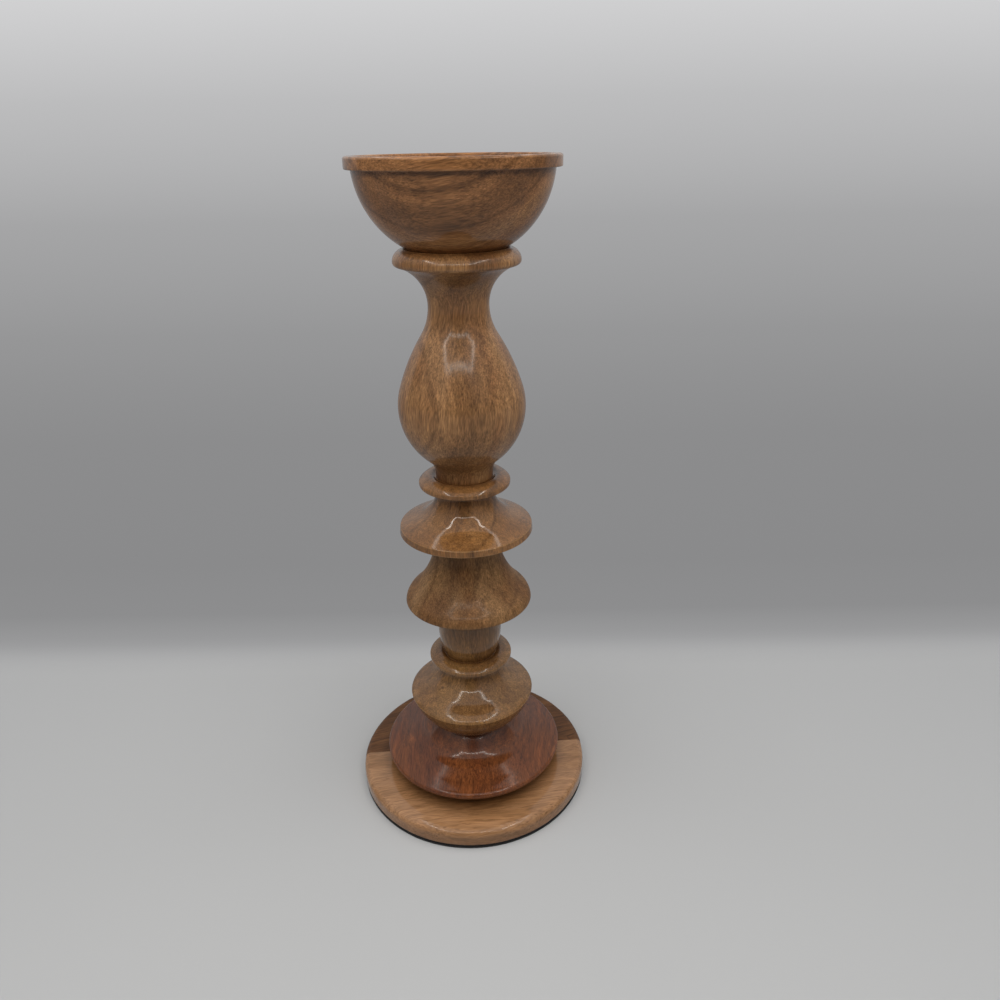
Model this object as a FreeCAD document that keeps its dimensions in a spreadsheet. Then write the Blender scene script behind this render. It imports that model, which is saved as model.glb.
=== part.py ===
import FreeCAD, Part
import Sketcher
import math
import os

# A turned wooden pricket candle stand, 385 mm tall: seven turned pieces stacked on a felt-footed
# round base, drawn together by one steel rod that runs up the middle. A brass drip plate and a
# pricket close the rod's upper end inside the bowl. Millimetres, +Z up, the axis of the turned
# pieces on the Z axis and the floor at zero.

doc = FreeCAD.newDocument("CandleStand")

sizes = {
    # Felt pad under the base
    "pad_radius": 72.4,
    "pad_thickness": 1.5,
    # Round base, turned from two boards glued edge to edge
    "base_radius": 74.1,
    "base_thickness": 11.2,
    "base_top_round": 4.2,
    "base_foot_round": 2.2,
    "glue_line_offset": 1.05,
    "glue_line_turn": 4.07,
    # Steel rod, its bore in the wood, and the hardware in the recess under the base
    "rod_radius": 3.0,
    "rod_bore_clearance": 0.4,
    "rod_end_bevel": 0.6,
    "thread_clearance": 0.05,
    "recess_radius": 11.0,
    "recess_depth": 7.2,
    "washer_radius": 9.0,
    "washer_thickness": 1.6,
    "lock_washer_radius": 5.9,
    "lock_washer_thickness": 1.6,
    "lock_washer_gap": 1.0,
    "nut_flats": 10.0,
    "nut_thickness": 3.2,
    "rod_tail": 0.4,
    # Spigots that centre each turned piece on the one below
    "spigot_radius": 10.0,
    "spigot_length": 8.0,
    "spigot_clearance": 0.15,
    "spigot_end_gap": 0.5,
    # Wide red saucer on the base
    "saucer_height": 29.8,
    "saucer_foot_radius": 45.0,
    "saucer_rim_radius": 57.0,
    "saucer_rim_level": 8.4,
    "saucer_rim_band": 4.8,
    "saucer_rim_round": 2.2,
    "saucer_seat_radius": 22.6,
    "saucer_spigot_radius": 16.0,
    "saucer_spigot_length": 1.8,
    "saucer_underside_bow_share": -0.10,
    "saucer_rim_bow_share": 0.18,
    "saucer_flat_radius": 39.0,
    "saucer_flat_level": 17.9,
    "saucer_sweep_radius": 31.0,
    "saucer_sweep_level": 22.5,
    "saucer_roll_bow_share": 0.010,
    "saucer_hollow_bow_share": -0.0685,
    "saucer_sweep_bow_share": 0.020,
    # Lower stem: cup, neck, bead and flaring shaft in one piece
    "stem_height": 94.5,
    "stem_foot_radius": 22.0,
    "stem_cup_radius": 39.2,
    "stem_cup_level": 22.4,
    "stem_cup_bevel": 1.1,
    "stem_cup_bow_share": 0.09,
    "stem_flat_radius": 30.5,
    "stem_flat_level": 28.4,
    "stem_sweep_radius": 21.5,
    "stem_sweep_level": 35.4,
    "stem_roll_bow_share": 0.029,
    "stem_hollow_bow_share": -0.061,
    "stem_neck_radius": 17.2,
    "stem_bead_radius": 25.9,
    "stem_bead_level": 47.9,
    "stem_bead_edge": 0.5,
    "stem_bead_band": 2.4,
    "stem_bead_fall": 2.7,
    "stem_bead_top_radius": 18.8,
    "stem_bead_bow_share": 0.11,
    "stem_quirk_depth": 0.9,
    "stem_waist_radius": 16.3,
    "stem_shaft_radius": 19.7,
    "stem_shaft_level": 70.5,
    # Bell: the wide ogee piece, hollowed a little underneath
    "bell_height": 47.0,
    "bell_undercut": 3.2,
    "bell_radius": 38.5,
    "bell_lip_round": 0.5,
    "bell_roll_height": 6.1,
    "bell_roll_fall": 3.0,
    "bell_roll_bow_share": 0.079,
    "bell_top_radius": 19.2,
    "bell_collar_height": 7.0,
    # Skirt collar: wide skirt, neck and bead in one piece
    "collar_height": 31.3,
    "collar_undercut": 2.6,
    "collar_skirt_radius": 39.4,
    "collar_skirt_band": 3.7,
    "collar_skirt_fall": 0.5,
    "collar_flat_radius": 30.5,
    "collar_flat_level": 4.6,
    "collar_sweep_radius": 20.0,
    "collar_sweep_level": 12.8,
    "collar_roll_bow_share": 0.014,
    "collar_hollow_bow_share": -0.079,
    "collar_neck_radius": 16.1,
    "collar_bead_radius": 26.5,
    "collar_bead_level": 26.1,
    "collar_bead_edge": 0.6,
    "collar_bead_band": 2.6,
    "collar_bead_top_radius": 18.8,
    "collar_bead_bow_share": 0.13,
    "collar_quirk_depth": 0.9,
    "collar_quirk_width": 1.6,
    # Vase: foot, belly, waist and flange in one piece
    "vase_height": 126.3,
    "vase_foot_radius": 16.5,
    "vase_foot_level": 2.6,
    "vase_belly_radius": 35.5,
    "vase_belly_level_share": 0.3318,
    "vase_belly_split_share": 0.226,
    "vase_shoulder_level_share": 0.4181,
    "vase_shoulder_fall": 1.66,
    "vase_shoulder_bow_share": 0.033,
    "vase_hollow_level_share": 0.6437,
    "vase_hollow_radius": 20.86,
    "vase_waist_radius": 16.3,
    "vase_waist_level_share": 0.7688,
    "vase_flange_radius": 33.4,
    "vase_flange_level_share": 0.9335,
    "vase_flange_edge": 1.0,
    "vase_flange_nose": 1.8,
    "vase_flange_top_radius": 28.4,
    "vase_flange_top_drop": 0.4,
    # Drip bowl
    "bowl_height": 43.4,
    "bowl_foot_radius": 27.8,
    "bowl_foot_bevel": 0.8,
    "bowl_side_bow_share": 0.12,
    "bowl_lip_radius": 53.8,
    "bowl_lip_height": 6.0,
    "bowl_lip_overhang": 3.2,
    "bowl_lip_round": 1.3,
    "bowl_lip_width": 4.6,
    "bowl_floor_thickness": 9.5,
    "bowl_floor_radius": 24.0,
    # Brass drip plate
    "plate_radius": 23.4,
    "plate_thickness": 1.2,
    "plate_lip_height": 1.6,
    "plate_hole_clearance": 0.2,
    # Pricket: tapped boss below the plate, hexagon above it, then the spike
    "boss_radius": 5.6,
    "boss_length": 7.6,
    "boss_clearance": 0.3,
    "boss_end_gap": 0.4,
    "thread_depth": 6.0,
    "hexagon_flats": 14.0,
    "hexagon_height": 2.0,
    "spike_radius": 2.6,
    "spike_shank_length": 12.0,
    "spike_cone_length": 12.6,
    "spike_tip_radius": 0.3,
}

sheet = doc.addObject("Spreadsheet::Sheet", "Sizes")
for row, (alias, number) in enumerate(sizes.items(), start=1):
    sheet.set(f"A{row}", alias)
    sheet.set(f"B{row}", str(number))
    sheet.setAlias(f"B{row}", alias)
doc.recompute()


class Size:
    """A size known twice: as a number, to draw with, and as the text that binds the drawing."""

    def __init__(self, number, text):
        self.number = number
        self.text = text

    def __add__(self, other):
        return Size(self.number + other.number, f"({self.text} + {other.text})")

    def __sub__(self, other):
        return Size(self.number - other.number, f"({self.text} - {other.text})")

    def __mul__(self, other):
        return Size(self.number * other.number, f"({self.text} * {other.text})")

    def half(self):
        return Size(self.number / 2, f"({self.text} / 2)")


def size(alias):
    """One cell of the sheet, as a Size."""
    return Size(sizes[alias], f"Sizes.{alias}")


zero = Size(0, "0")
rod_bore = size("rod_radius") + size("rod_bore_clearance")


def origin_plane(body, role):
    """One of a body's own three origin planes."""
    for feature in body.Origin.OriginFeatures:
        if feature.Role == role:
            return feature
    raise LookupError(role)


def new_sketch(body, name, role):
    """An empty sketch on one of the body's origin planes."""
    sketch = body.newObject("Sketcher::SketchObject", name)
    sketch.AttachmentSupport = [(origin_plane(body, role), "")]
    sketch.MapMode = "FlatFace"
    return sketch


def bind(sketch, constraint, text):
    """Add a constraint whose value follows the sheet."""
    index = sketch.addConstraint(constraint)
    sketch.setExpression(f"Constraints[{index}]", text)


def arc_through(start, end, bow):
    """The circle arc between two points that bows out by a share of its chord, to the right."""
    run = end[0] - start[0]
    rise = end[1] - start[1]
    chord = math.hypot(run, rise)
    radius = chord * (1 + 4 * bow * bow) / (8 * abs(bow))
    reach = (radius - abs(bow) * chord) * (-1 if bow > 0 else 1)
    middle = FreeCAD.Vector(
        (start[0] + end[0]) / 2 + reach * rise / chord,
        (start[1] + end[1]) / 2 - reach * run / chord,
        0,
    )
    first, last = (start, end) if bow > 0 else (end, start)
    from_angle = math.atan2(first[1] - middle.y, first[0] - middle.x)
    to_angle = math.atan2(last[1] - middle.y, last[0] - middle.x)
    if to_angle < from_angle:
        to_angle += 2 * math.pi
    circle = Part.Circle(middle, FreeCAD.Vector(0, 0, 1), radius)
    return Part.ArcOfCircle(circle, from_angle, to_angle)


def upright_bow(start, end, upright):
    """The bow of an arc that stands upright at its start or at its end."""
    lean = math.atan2(abs(end[0] - start[0]), abs(end[1] - start[1]))
    outward = end[0] < start[0] if upright == "upright start" else end[0] > start[0]
    rising = end[1] > start[1]
    return math.tan(lean / 2) / 2 * (1 if outward == rising else -1)


def draw_outline(sketch, outline):
    """Draw a closed outline of (radius, height, stretch) stations, each one bound to the sheet.

    The stretch says how the outline runs on from the station: "line"; a Size, which is the
    arc's bow as a share of its chord, out to the right when positive; or "upright start" or
    "upright end", an arc whose centre is level with that end.
    """
    points = [(radius.number, height.number) for radius, height, stretch in outline]
    heads = []
    tails = []
    arcs = []
    for index, (radius, height, stretch) in enumerate(outline):
        start = points[index]
        end = points[(index + 1) % len(points)]
        if stretch == "line":
            line = Part.LineSegment(FreeCAD.Vector(*start, 0), FreeCAD.Vector(*end, 0))
            edge = sketch.addGeometry(line)
            heads.append((edge, 1))
            tails.append((edge, 2))
            arcs.append(None)
            continue
        bow = stretch.number if isinstance(stretch, Size) else upright_bow(start, end, stretch)
        edge = sketch.addGeometry(arc_through(start, end, bow))
        heads.append((edge, 1 if bow > 0 else 2))
        tails.append((edge, 2 if bow > 0 else 1))
        arcs.append(edge)
    for index, (radius, height, stretch) in enumerate(outline):
        following = (index + 1) % len(outline)
        sketch.addConstraint(Sketcher.Constraint("Coincident", *tails[index], *heads[following]))
    for index, (radius, height, stretch) in enumerate(outline):
        edge, corner = heads[index]
        before_radius, before_height, before_stretch = outline[index - 1]
        straight = before_stretch == "line" and index > 0
        if straight and before_radius.text == radius.text:
            sketch.addConstraint(Sketcher.Constraint("Vertical", heads[index - 1][0]))
        elif radius.text == "0":
            sketch.addConstraint(Sketcher.Constraint("PointOnObject", edge, corner, -2))
        else:
            across = Sketcher.Constraint("DistanceX", -1, 1, edge, corner, radius.number)
            bind(sketch, across, radius.text)
        if straight and before_height.text == height.text:
            sketch.addConstraint(Sketcher.Constraint("Horizontal", heads[index - 1][0]))
        elif height.text == "0":
            sketch.addConstraint(Sketcher.Constraint("PointOnObject", edge, corner, -1))
        else:
            up = Sketcher.Constraint("DistanceY", -1, 1, edge, corner, height.number)
            bind(sketch, up, height.text)
    for index, (radius, height, stretch) in enumerate(outline):
        if arcs[index] is None:
            continue
        if stretch == "upright start":
            level = Sketcher.Constraint("Horizontal", arcs[index], 3, *heads[index])
            sketch.addConstraint(level)
        elif stretch == "upright end":
            level = Sketcher.Constraint("Horizontal", arcs[index], 3, *tails[index])
            sketch.addConstraint(level)
        else:
            next_radius, next_height, next_stretch = outline[(index + 1) % len(outline)]
            run = next_radius - radius
            rise = next_height - height
            bow = stretch.text
            chord = f"sqrt({run.text} ^ 2 + {rise.text} ^ 2)"
            value = sketch.Geometry[arcs[index]].Radius
            radius_text = f"{chord} * (1 + 4 * {bow} ^ 2) / (8 * abs({bow}))"
            bind(sketch, Sketcher.Constraint("Radius", arcs[index], value), radius_text)


def stack_on(piece, below, rise):
    """Stand a piece on the one below, at a height above that one's own seat."""
    piece.setExpression("Placement.Base.z", f"{below.Name}.Placement.Base.z + {rise.text} * 1 mm")


def turned_piece(name, outline):
    """A body turned about its upright axis from one closed outline."""
    body = doc.addObject("PartDesign::Body", name)
    sketch = new_sketch(body, f"{name}_outline", "XZ_Plane")
    draw_outline(sketch, outline)
    turning = body.newObject("PartDesign::Revolution", f"{name}_turning")
    turning.Profile = sketch
    turning.ReferenceAxis = (sketch, ["V_Axis"])
    turning.Angle = 360
    body.Tip = turning
    return body


def bottom_spigot(radius):
    """The stations of a spigot below a piece: bore, spigot and the shoulder that seats."""
    return [
        (rod_bore, zero - size("spigot_length"), "line"),
        (radius, zero - size("spigot_length"), "line"),
        (radius, zero, "line"),
    ]


def top_recess(level):
    """The stations of the recess that takes the next piece's spigot, from its mouth down."""
    mouth = size("spigot_radius") + size("spigot_clearance")
    floor = level - size("spigot_length") - size("spigot_end_gap")
    return [
        (mouth, level, "line"),
        (mouth, floor, "line"),
        (rod_bore, floor, "line"),
    ]


def felt_pad():
    """A disc of black felt that closes the recess and keeps the base off the furniture."""
    return turned_piece(
        "felt_pad",
        [
            (zero, zero, "line"),
            (size("pad_radius"), zero, "line"),
            (size("pad_radius"), size("pad_thickness"), "line"),
            (zero, size("pad_thickness"), "line"),
        ],
    )


def base_outline():
    """Half the section of the round base: rounded edges, nut recess below, spigot seat above."""
    radius = size("base_radius")
    top = size("base_thickness")
    foot_round = size("base_foot_round")
    top_round = size("base_top_round")
    seat_radius = size("saucer_spigot_radius") + size("spigot_clearance")
    seat_floor = top - size("saucer_spigot_length") - size("spigot_end_gap").half()
    return [
        (size("recess_radius"), zero, "line"),
        (radius - foot_round, zero, "upright end"),
        (radius, foot_round, "line"),
        (radius, top - top_round, "upright start"),
        (radius - top_round, top, "line"),
        (seat_radius, top, "line"),
        (seat_radius, seat_floor, "line"),
        (rod_bore, seat_floor, "line"),
        (rod_bore, size("recess_depth"), "line"),
        (size("recess_radius"), size("recess_depth"), "line"),
    ]


def base_board(name, pad, side):
    """One of the two boards: the turned disc, cut back to one side of the glue line."""
    body = turned_piece(name, base_outline())
    cut = new_sketch(body, f"{name}_glue_line", "XY_Plane")
    reach = size("base_radius") + size("base_radius")
    near = size("glue_line_offset")
    far = near + reach if side == "front" else near - reach
    corners = [
        FreeCAD.Vector(-reach.number, near.number, 0),
        FreeCAD.Vector(reach.number, near.number, 0),
        FreeCAD.Vector(reach.number, far.number, 0),
        FreeCAD.Vector(-reach.number, far.number, 0),
    ]
    for index, corner in enumerate(corners):
        cut.addGeometry(Part.LineSegment(corner, corners[(index + 1) % len(corners)]))
    for index in range(len(corners)):
        following = (index + 1) % len(corners)
        cut.addConstraint(Sketcher.Constraint("Coincident", index, 2, following, 1))
    for index in (0, 2):
        cut.addConstraint(Sketcher.Constraint("Horizontal", index))
    for index in (1, 3):
        cut.addConstraint(Sketcher.Constraint("Vertical", index))
    bind(cut, Sketcher.Constraint("DistanceX", -1, 1, 0, 2, reach.number), reach.text)
    bind(cut, Sketcher.Constraint("DistanceX", 0, 1, -1, 1, reach.number), reach.text)
    bind(cut, Sketcher.Constraint("DistanceY", -1, 1, 0, 1, near.number), near.text)
    if side == "front":
        bind(cut, Sketcher.Constraint("DistanceY", -1, 1, 2, 1, far.number), far.text)
    else:
        bind(cut, Sketcher.Constraint("DistanceY", 2, 1, -1, 1, -far.number), f"-{far.text}")
    pocket = body.newObject("PartDesign::Pocket", f"{name}_cut")
    pocket.Profile = cut
    pocket.Midplane = True
    pocket.setExpression("Length", "4 * Sizes.base_thickness")
    body.Tip = pocket
    body.setExpression("Placement.Rotation.Angle", "Sizes.glue_line_turn")
    stack_on(body, pad, size("pad_thickness"))
    return body


def saucer_spigot():
    """The low, wide spigot under the saucer."""
    floor = zero - size("saucer_spigot_length")
    return [
        (rod_bore, floor, "line"),
        (size("saucer_spigot_radius"), floor, "line"),
        (size("saucer_spigot_radius"), zero, "line"),
    ]


def base_saucer(board):
    """The wide red saucer: undercut foot, rounded rim, and a top that sweeps up to the stem."""
    rim = size("saucer_rim_radius")
    low = size("saucer_rim_level")
    edge = size("saucer_rim_round")
    high = low + size("saucer_rim_band")
    top = size("saucer_height")
    body = turned_piece(
        "base_saucer",
        saucer_spigot()
        + [
            (size("saucer_foot_radius"), zero, size("saucer_underside_bow_share")),
            (rim - edge, low, size("saucer_rim_bow_share")),
            (rim, low + edge, "line"),
            (rim, high - edge, size("saucer_rim_bow_share")),
            (rim - edge, high, size("saucer_roll_bow_share")),
            (size("saucer_flat_radius"), size("saucer_flat_level"), size("saucer_hollow_bow_share")),
            (size("saucer_sweep_radius"), size("saucer_sweep_level"), size("saucer_sweep_bow_share")),
            (size("saucer_seat_radius"), top, "line"),
        ]
        + top_recess(top),
    )
    stack_on(body, board, size("base_thickness"))
    return body


def lower_stem(saucer):
    """The olive stem: cup on the saucer, neck, bead, and a full shaft that carries the bell."""
    cup = size("stem_cup_radius")
    cup_level = size("stem_cup_level")
    bevel = size("stem_cup_bevel")
    bead = size("stem_bead_radius")
    bead_level = size("stem_bead_level")
    bead_edge = size("stem_bead_edge")
    bead_top = bead_level + size("stem_bead_band")
    arris_level = bead_top + size("stem_bead_fall")
    shaft = size("stem_shaft_radius")
    top = size("stem_height")
    body = turned_piece(
        "lower_stem",
        bottom_spigot(size("spigot_radius"))
        + [
            (size("stem_foot_radius"), zero, size("stem_cup_bow_share")),
            (cup, cup_level, "line"),
            (cup, cup_level + bevel.half(), "line"),
            (cup - bevel, cup_level + bevel + bevel.half(), size("stem_roll_bow_share")),
            (size("stem_flat_radius"), size("stem_flat_level"), size("stem_hollow_bow_share")),
            (size("stem_sweep_radius"), size("stem_sweep_level"), "upright end"),
            (size("stem_neck_radius"), bead_level, "line"),
            (bead - bead_edge, bead_level, "line"),
            (bead, bead_level + bead_edge, "line"),
            (bead, bead_top, size("stem_bead_bow_share")),
            (size("stem_bead_top_radius"), arris_level, "line"),
            (size("stem_waist_radius"), arris_level - size("stem_quirk_depth"), "upright end"),
            (shaft, size("stem_shaft_level"), "line"),
            (shaft, top, "line"),
            (size("spigot_radius"), top, "line"),
            (size("spigot_radius"), top + size("spigot_length"), "line"),
            (rod_bore, top + size("spigot_length"), "line"),
        ],
    )
    stack_on(body, saucer, size("saucer_height"))
    return body


def bell(stem):
    """The bell: a crisp lip, a long ogee up to a short collar, and a shallow hollow below."""
    lip = size("bell_radius")
    lip_level = zero - size("bell_undercut")
    edge = size("bell_lip_round")
    roll = lip - size("bell_roll_fall")
    roll_level = lip_level + edge + size("bell_roll_height")
    top = size("bell_height")
    mouth = size("spigot_radius") + size("spigot_clearance")
    recess = size("spigot_length") + size("spigot_end_gap")
    body = turned_piece(
        "bell",
        [
            (rod_bore, recess, "line"),
            (mouth, recess, "line"),
            (mouth, zero, "line"),
            (size("stem_shaft_radius"), zero, "line"),
            (lip - edge - edge, lip_level, "line"),
            (lip - edge, lip_level, "upright end"),
            (lip, lip_level + edge, size("bell_roll_bow_share")),
            (roll, roll_level, "upright end"),
            (size("bell_top_radius"), top - size("bell_collar_height"), "line"),
            (size("bell_top_radius"), top, "line"),
        ]
        + top_recess(top),
    )
    stack_on(body, stem, size("stem_height"))
    return body


def skirt_collar(bell_piece):
    """The collar between bell and vase: a flared skirt, a waisted neck and a bead."""
    skirt = size("collar_skirt_radius")
    skirt_level = zero - size("collar_undercut")
    bead = size("collar_bead_radius")
    bead_level = size("collar_bead_level")
    bead_edge = size("collar_bead_edge")
    bead_top = bead_level + size("collar_bead_band")
    arris = size("collar_bead_top_radius")
    top = size("collar_height")
    body = turned_piece(
        "skirt_collar",
        bottom_spigot(size("spigot_radius"))
        + [
            (size("bell_top_radius"), zero, "line"),
            (skirt - size("collar_undercut"), skirt_level, "line"),
            (skirt, skirt_level, "line"),
            (
                skirt - size("collar_skirt_fall"),
                skirt_level + size("collar_skirt_band"),
                size("collar_roll_bow_share"),
            ),
            (size("collar_flat_radius"), size("collar_flat_level"), size("collar_hollow_bow_share")),
            (size("collar_sweep_radius"), size("collar_sweep_level"), "upright end"),
            (size("collar_neck_radius"), bead_level, "line"),
            (bead - bead_edge, bead_level, "line"),
            (bead, bead_level + bead_edge, "line"),
            (bead, bead_top, size("collar_bead_bow_share")),
            (arris, top + size("collar_quirk_depth"), "line"),
            (arris - size("collar_quirk_width"), top, "line"),
        ]
        + top_recess(top),
    )
    stack_on(body, bell_piece, size("bell_height"))
    return body


def vase(collar):
    """The vase: coved foot, full belly, narrow waist, and the flange that carries the bowl."""
    foot = size("vase_foot_radius")
    foot_level = size("vase_foot_level")
    belly = size("vase_belly_radius")
    split = size("vase_belly_split_share")
    flange = size("vase_flange_radius")
    top = size("vase_height")
    belly_level = top * size("vase_belly_level_share")
    shoulder_level = top * size("vase_shoulder_level_share")
    hollow_level = top * size("vase_hollow_level_share")
    waist_level = top * size("vase_waist_level_share")
    flange_level = top * size("vase_flange_level_share")
    body = turned_piece(
        "vase",
        bottom_spigot(size("spigot_radius"))
        + [
            (foot, zero, "line"),
            (foot, foot_level, "upright start"),
            (
                foot + (belly - foot) * split,
                foot_level + (belly_level - foot_level) * split,
                "upright end",
            ),
            (belly, belly_level, "upright start"),
            (
                belly - size("vase_shoulder_fall"),
                shoulder_level,
                size("vase_shoulder_bow_share"),
            ),
            (size("vase_hollow_radius"), hollow_level, "upright end"),
            (size("vase_waist_radius"), waist_level, "upright start"),
            (flange - size("vase_flange_edge"), flange_level, "upright end"),
            (flange, flange_level + size("vase_flange_nose"), "upright start"),
            (size("vase_flange_top_radius"), top - size("vase_flange_top_drop"), "line"),
            (size("bowl_foot_radius"), top, "line"),
        ]
        + top_recess(top),
    )
    stack_on(body, collar, size("collar_height"))
    return body


def drip_bowl(vase_piece):
    """The bowl that catches the wax: round sides, a square lip, a flat floor bored for the boss."""
    lip = size("bowl_lip_radius")
    lip_round = size("bowl_lip_round")
    top = size("bowl_height")
    lip_level = top - size("bowl_lip_height")
    foot = size("bowl_foot_radius")
    bevel = size("bowl_foot_bevel")
    inner_lip = lip - size("bowl_lip_width")
    floor = size("bowl_floor_thickness")
    boss_bore = size("boss_radius") + size("boss_clearance")
    boss_floor = floor + size("plate_thickness") - size("boss_length") - size("boss_end_gap")
    body = turned_piece(
        "drip_bowl",
        bottom_spigot(size("spigot_radius"))
        + [
            (foot - bevel, zero, "line"),
            (foot, bevel, size("bowl_side_bow_share")),
            (lip - size("bowl_lip_overhang"), lip_level, "line"),
            (lip - lip_round.half(), lip_level, "upright end"),
            (lip, lip_level + lip_round.half(), "line"),
            (lip, top - lip_round, "upright start"),
            (lip - lip_round, top, "line"),
            (inner_lip + lip_round, top, "upright end"),
            (inner_lip, top - lip_round, "upright start"),
            (size("bowl_floor_radius"), floor, "line"),
            (boss_bore, floor, "line"),
            (boss_bore, boss_floor, "line"),
            (rod_bore, boss_floor, "line"),
        ],
    )
    stack_on(body, vase_piece, size("vase_height"))
    return body


def drip_plate(bowl):
    """A thin brass plate on the bowl's floor, its edge turned up to hold the wax."""
    radius = size("plate_radius")
    metal = size("plate_thickness")
    lip = size("plate_lip_height")
    hole = size("boss_radius") + size("plate_hole_clearance")
    body = turned_piece(
        "drip_plate",
        [
            (hole, zero, "line"),
            (radius - metal, zero, "upright end"),
            (radius, metal, "line"),
            (radius, metal + lip, "line"),
            (radius - metal.half(), metal + lip, "line"),
            (radius - metal.half() - lip, metal, "line"),
            (hole, metal, "line"),
        ],
    )
    stack_on(body, bowl, size("bowl_floor_thickness"))
    return body


def hexagon_pad(body, name, flats, height):
    """A hexagonal prism on the body's base plane, with two flats square to the X axis."""
    sketch = new_sketch(body, f"{name}_outline", "XY_Plane")
    corner_reach = flats.number / math.sqrt(3)
    corners = []
    for corner in range(6):
        angle = math.radians(30 + 60 * corner)
        corners.append(
            FreeCAD.Vector(corner_reach * math.cos(angle), corner_reach * math.sin(angle), 0)
        )
    for index, corner in enumerate(corners):
        sketch.addGeometry(Part.LineSegment(corner, corners[(index + 1) % 6]))
    middle = FreeCAD.Vector(0, 0, 0)
    guide = sketch.addGeometry(Part.Circle(middle, FreeCAD.Vector(0, 0, 1), corner_reach), True)
    sketch.addConstraint(Sketcher.Constraint("Coincident", guide, 3, -1, 1))
    for index in range(6):
        sketch.addConstraint(Sketcher.Constraint("Coincident", index, 2, (index + 1) % 6, 1))
        sketch.addConstraint(Sketcher.Constraint("PointOnObject", index, 1, guide))
    for index in range(5):
        sketch.addConstraint(Sketcher.Constraint("Equal", index, index + 1))
    sketch.addConstraint(Sketcher.Constraint("Vertical", 5))
    bind(sketch, Sketcher.Constraint("Radius", guide, corner_reach), f"{flats.text} / sqrt(3)")
    prism = body.newObject("PartDesign::Pad", f"{name}_prism")
    prism.Profile = sketch
    prism.setExpression("Length", height.text)
    body.Tip = prism
    return prism


def pricket_spike(plate):
    """The pricket: one turned steel piece, tapped below, with a hexagon to screw it down by."""
    body = doc.addObject("PartDesign::Body", "pricket_spike")
    hexagon_pad(body, "pricket_hexagon", size("hexagon_flats"), size("hexagon_height"))
    doc.recompute()
    tapped = size("rod_radius") + size("thread_clearance")
    boss_foot = zero - size("boss_length")
    shank_top = size("hexagon_height") + size("spike_shank_length")
    tip = shank_top + size("spike_cone_length")
    sketch = new_sketch(body, "pricket_outline", "XZ_Plane")
    draw_outline(
        sketch,
        [
            (tapped, boss_foot, "line"),
            (size("boss_radius"), boss_foot, "line"),
            (size("boss_radius"), zero, "line"),
            (size("boss_radius"), size("hexagon_height"), "line"),
            (size("spike_radius"), size("hexagon_height"), "line"),
            (size("spike_radius"), shank_top, "line"),
            (size("spike_tip_radius"), tip, "line"),
            (zero, tip, "line"),
            (zero, boss_foot + size("thread_depth"), "line"),
            (tapped, boss_foot + size("thread_depth"), "line"),
        ],
    )
    turning = body.newObject("PartDesign::Revolution", "pricket_turning")
    turning.Profile = sketch
    turning.ReferenceAxis = (sketch, ["V_Axis"])
    turning.Angle = 360
    body.Tip = turning
    stack_on(body, plate, size("plate_thickness"))
    return body


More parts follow.
